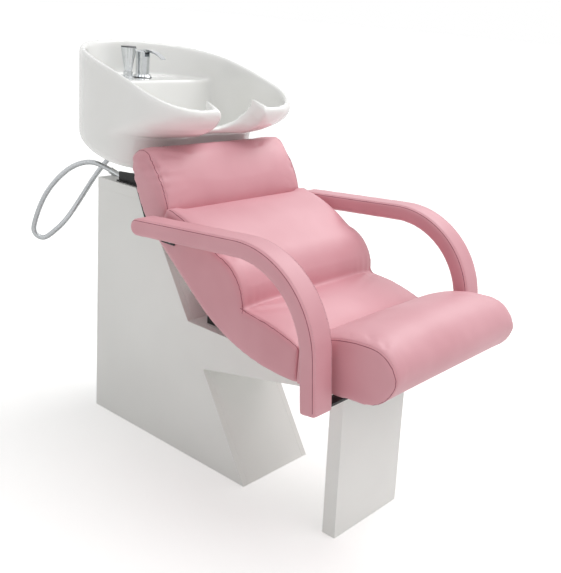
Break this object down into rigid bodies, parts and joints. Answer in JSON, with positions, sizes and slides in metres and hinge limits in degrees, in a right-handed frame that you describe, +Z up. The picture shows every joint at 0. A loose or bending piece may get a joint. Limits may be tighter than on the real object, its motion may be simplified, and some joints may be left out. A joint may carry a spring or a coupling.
{
  "type": "salon backwash unit",
  "caption": "Salon backwash unit: reclined upholstered seat with armrests on a boxed cabinet, and a tilting glazed basin with mixer tap and hand shower behind the head.",
  "frame": {"origin": "on the floor, mid-width and midway along the unit's length", "axes": "+X to the sitter's left, -Y towards the sitter's feet, +Z up"},
  "size_m": [0.662, 1.276, 1.0518],
  "materials": {
    "white_board": "white satin lacquer on board",
    "raw_wood": "plain sawn batten",
    "zinc_steel": "zinc-plated fasteners",
    "white_steel": "white powder coat, matched to the cabinet",
    "black_steel": "black powder coat",
    "black_board": "black cover on the head cushion's backboard",
    "pink_leather": "pink upholstery leather over foam, stitched seams",
    "white_glaze": "glossy white glaze",
    "chrome": "bright chrome plate",
    "white_plastic": "moulded plastic",
    "grey_plastic": "moulded spray face",
    "brass": "turned brass",
    "black_rubber": "soft seal"
  },
  "bodies": {
    "base": {"cabinet_side_left": "white_board", "cabinet_side_right": "white_board", "cabinet_front_lower": "white_board", "cabinet_front_upper": "white_board", "cabinet_ledge": "white_board", "cabinet_beam_underside": "white_board", "cabinet_floor": "white_board", "cabinet_back_panel": "white_board", "cabinet_lid": "white_board", "front_leg": "white_board", "back_panel_cleats": "raw_wood", "back_panel_screws": "zinc_steel", "frame_bolts": "zinc_steel", "armrest_screws": "zinc_steel", "tilt_nuts": "zinc_steel", "tilt_pins": "zinc_steel", "lid_bolts": "zinc_steel", "back_gussets": "white_steel", "seat_frame": "black_steel", "armrest_bar_left": "black_steel", "armrest_bar_right": "black_steel", "armrest_bracket_left": "black_steel", "armrest_bracket_right": "black_steel", "tilt_lower_plate": "black_steel", "head_brackets": "black_steel", "head_backboard": "black_board", "seat_shell": "pink_leather", "back_cushion": "pink_leather", "seat_cushion": "pink_leather", "front_bolster": "pink_leather", "head_cushion": "pink_leather", "armrest_pad_left": "pink_leather", "armrest_pad_right": "pink_leather", "shower_hose": "chrome", "hose_gland": "chrome"},
    "bowl": {"basin": "white_glaze", "tilt_upper_plate": "black_steel", "basin_bolts": "zinc_steel", "waste_tail": "chrome", "waste_seal": "black_rubber", "waste_nut": "white_plastic", "mixer_seal": "black_rubber", "mixer_body": "chrome", "mixer_cartridge": "white_plastic", "mixer_cold_tail": "brass", "mixer_hot_tail": "brass", "mixer_nut": "brass", "shower_holder": "chrome", "shower_holder_nut": "brass"},
    "mixer_head": {"mixer_cap": "chrome", "lever_pin": "chrome"},
    "lever": {"mixer_lever": "chrome"},
    "shower": {"hand_shower": "chrome", "spray_face": "grey_plastic", "hose_nut": "chrome", "hose_riser": "chrome"},
    "strainer": {"hair_strainer": "chrome"}
  },
  "joints": [
    {"name": "bowl_tilt", "type": "hinge", "parent": "base", "child": "bowl", "pos_m": [0, 0.3375, 0.722], "axis": [-1, 0, 0], "range_deg": [0, 15], "deforming": ["shower_hose"]},
    {"name": "mixer_swivel", "type": "hinge", "parent": "bowl", "child": "mixer_head", "pos_m": [0.025, 0.5085, 1.01], "axis": [0, 0, 1], "range_deg": [-45, 45]},
    {"name": "lever_lift", "type": "hinge", "parent": "mixer_head", "child": "lever", "pos_m": [0.025, 0.5085, 1.0214], "axis": [-1, 0, 0], "range_deg": [0, 25]},
    {"name": "hand_shower_lift", "type": "slide", "parent": "bowl", "child": "shower", "axis": [0, 0, 1], "range_m": [0, 0.12], "deforming": ["shower_hose"]},
    {"name": "strainer_lift", "type": "slide", "parent": "bowl", "child": "strainer", "axis": [0, 0, 1], "range_m": [0, 0.1]}
  ]
}
